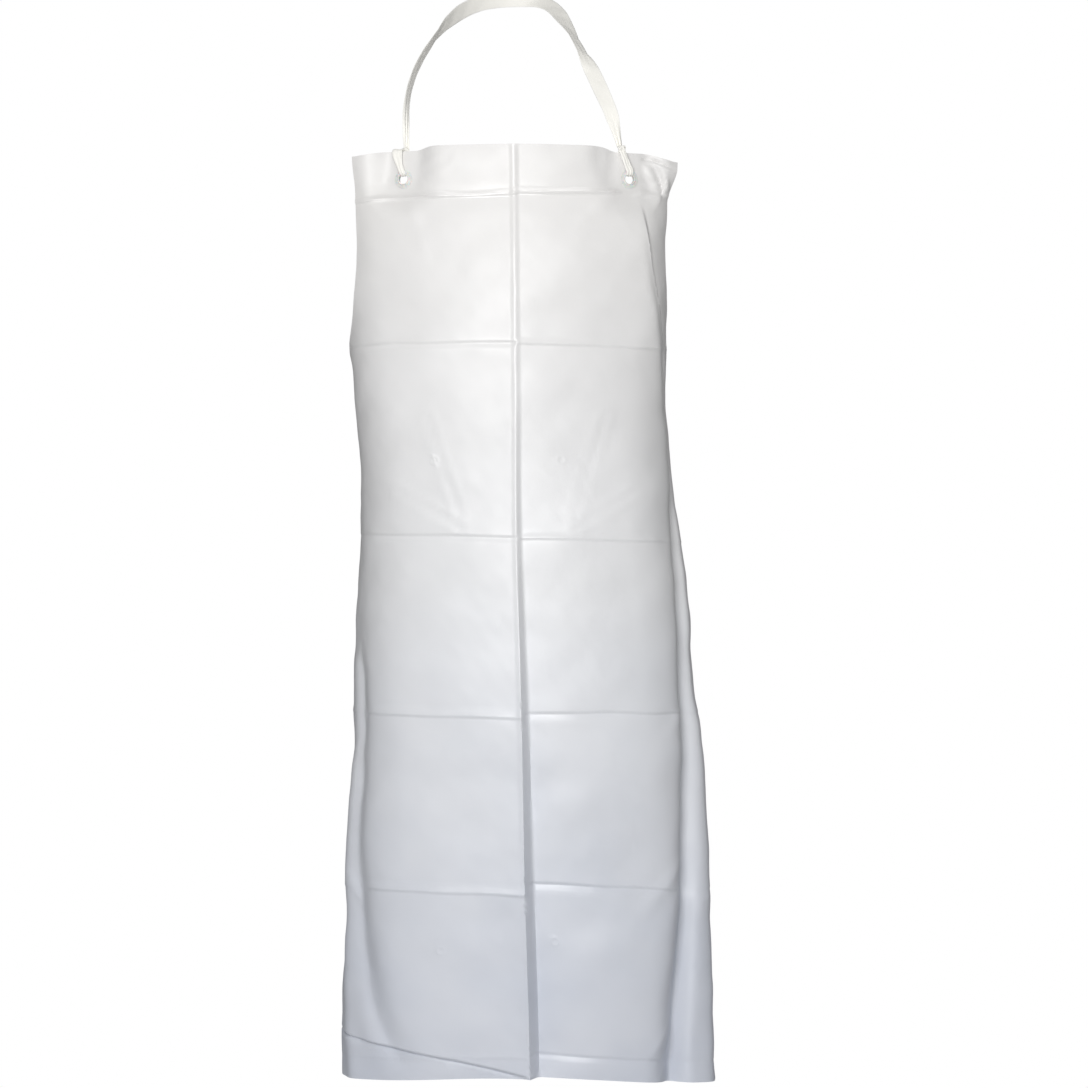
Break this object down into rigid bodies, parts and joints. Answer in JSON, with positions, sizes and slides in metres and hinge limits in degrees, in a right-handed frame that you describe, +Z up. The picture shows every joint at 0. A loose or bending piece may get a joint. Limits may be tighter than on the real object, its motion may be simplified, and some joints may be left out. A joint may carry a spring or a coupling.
{
  "type": "butcher apron",
  "caption": "Wrap-round bib apron of white vinyl film, hung from a woven neck tape tied through plastic eyelets, with eyelets at the waist for ties.",
  "frame": {"origin": "middle of the wearer's neck, where the neck tape goes round the nape", "axes": "+Z up the wearer, -Y out of the apron's front, +X towards the right-hand side as seen from the front"},
  "size_m": [0.4269, 0.2486, 1.2789],
  "materials": {
    "film": "satin white vinyl film with pressed fold lines",
    "eyelet_plastic": "smooth moulded white plastic",
    "tape": "woven cream cotton tape"
  },
  "bodies": {
    "neck_tape": {"neck_tape": "tape"},
    "apron": {"apron_panel": "film", "neck_eyelet_right": "eyelet_plastic", "neck_washer_right": "eyelet_plastic", "neck_eyelet_left": "eyelet_plastic", "neck_washer_left": "eyelet_plastic", "waist_eyelet_right": "eyelet_plastic", "waist_washer_right": "eyelet_plastic", "waist_eyelet_left": "eyelet_plastic", "waist_washer_left": "eyelet_plastic", "right_eyelet_loop": "tape", "right_knot": "tape", "left_eyelet_loop": "tape", "left_knot": "tape"}
  },
  "joints": [
    {"name": "bib_swing", "type": "hinge", "parent": "neck_tape", "child": "apron", "pos_m": [0, -0.10987, -0.19409], "axis": [1, 0, 0], "range_deg": [-80, 30]}
  ]
}
